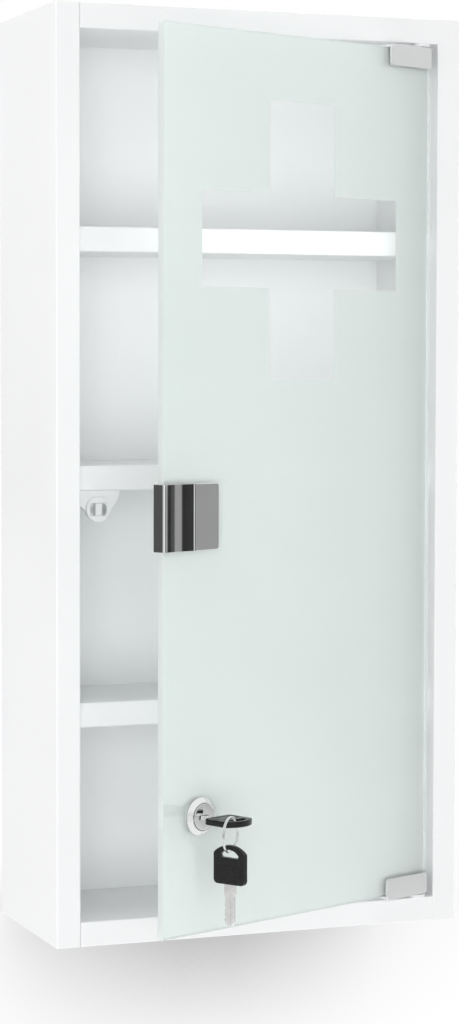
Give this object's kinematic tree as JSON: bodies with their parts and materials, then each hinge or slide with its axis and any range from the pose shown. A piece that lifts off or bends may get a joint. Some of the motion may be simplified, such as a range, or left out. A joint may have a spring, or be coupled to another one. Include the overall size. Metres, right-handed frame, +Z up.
{
  "type": "lockable medicine cabinet",
  "caption": "Wall-hung white medicine cabinet with shelves and an inset frosted glass door on pivot clips, with a clip handle, magnetic catch, cam lock and keys.",
  "frame": {"origin": "midway between the centres of the two hanging keyholes, on the plane of the wall", "axes": "+Z up, +X to the right of a person facing the door, +Y into the wall, so the front faces -Y"},
  "size_m": [0.28, 0.2521, 0.6],
  "materials": {
    "white_board": "satin white lacquer on board",
    "dowel_wood": "plain beech",
    "zinc_steel": "zinc plated",
    "white_nylon": "moulded nylon",
    "magnet_ferrite": "matte ferrite",
    "clear_glass": "clear, ground edges",
    "frosting": "frosted",
    "polished_chrome": "polished",
    "grey_rubber": "matte",
    "black_plastic": "moulded, satin"
  },
  "bodies": {
    "cabinet": {"side_panel_left": "white_board", "side_panel_right": "white_board", "top_panel": "white_board", "bottom_panel": "white_board", "back_panel": "white_board", "shelf_upper": "white_board", "shelf_middle": "white_board", "shelf_lower": "white_board", "dowels_left": "dowel_wood", "dowels_right": "dowel_wood", "hanger_plate_left": "zinc_steel", "hanger_plate_right": "zinc_steel", "hanger_screws": "zinc_steel", "strike_plate": "zinc_steel", "strike_screws": "zinc_steel", "catch_housing": "white_nylon", "catch_magnet": "magnet_ferrite", "catch_pole_left": "zinc_steel", "catch_pole_right": "zinc_steel", "catch_screws": "zinc_steel", "hinge_bush_top": "white_nylon", "hinge_bush_bottom": "white_nylon"},
    "door": {"door_glass": "clear_glass", "frosting": "frosting", "hinge_clip_top": "polished_chrome", "hinge_clip_bottom": "polished_chrome", "clip_pads_top": "grey_rubber", "clip_pads_bottom": "grey_rubber", "clip_screws_top": "zinc_steel", "clip_screws_bottom": "zinc_steel", "pivot_pin_top": "zinc_steel", "pivot_pin_bottom": "zinc_steel", "handle_clip": "polished_chrome", "handle_pads": "grey_rubber", "handle_screws": "zinc_steel", "lock_housing": "polished_chrome", "lock_gasket_front": "grey_rubber", "lock_gasket_rear": "grey_rubber", "lock_nut": "zinc_steel"},
    "lock_turning_parts": {"lock_plug": "polished_chrome", "lock_cam": "zinc_steel", "cam_screw": "zinc_steel"},
    "key": {"key_blade": "zinc_steel", "key_head": "black_plastic"},
    "ring": {"key_ring": "polished_chrome"},
    "spare_key": {"spare_key_blade": "zinc_steel", "spare_key_head": "black_plastic"}
  },
  "joints": [
    {"name": "door_hinge", "type": "hinge", "parent": "cabinet", "child": "door", "pos_m": [0.1135, -0.1205, -0.24], "axis": [0, 0, 1], "range_deg": [-23.5, 86.5]},
    {"name": "lock_turn", "type": "hinge", "parent": "door", "child": "lock_turning_parts", "pos_m": [-0.07053, -0.20761, -0.446], "axis": [-0.3987, 0.9171, 0], "range_deg": [0, 90]},
    {"name": "key_slide", "type": "slide", "parent": "lock_turning_parts", "child": "key", "axis": [0.3987, -0.9171, 0], "range_m": [0, 0.018]},
    {"name": "ring_turn", "type": "hinge", "parent": "key", "child": "ring", "pos_m": [-0.06617, -0.24142, -0.4517], "axis": [-0.3987, 0.9171, 0], "range_deg": [-90, 0]},
    {"name": "spare_key_swing", "type": "hinge", "parent": "ring", "child": "spare_key", "pos_m": [-0.06617, -0.24142, -0.4623], "axis": [0.8339, 0.5519, 0], "range_deg": [-25, 20]}
  ],
  "couplings": [
    {"joint": "ring_turn", "follows": "lock_turn", "ratio": -1}
  ]
}
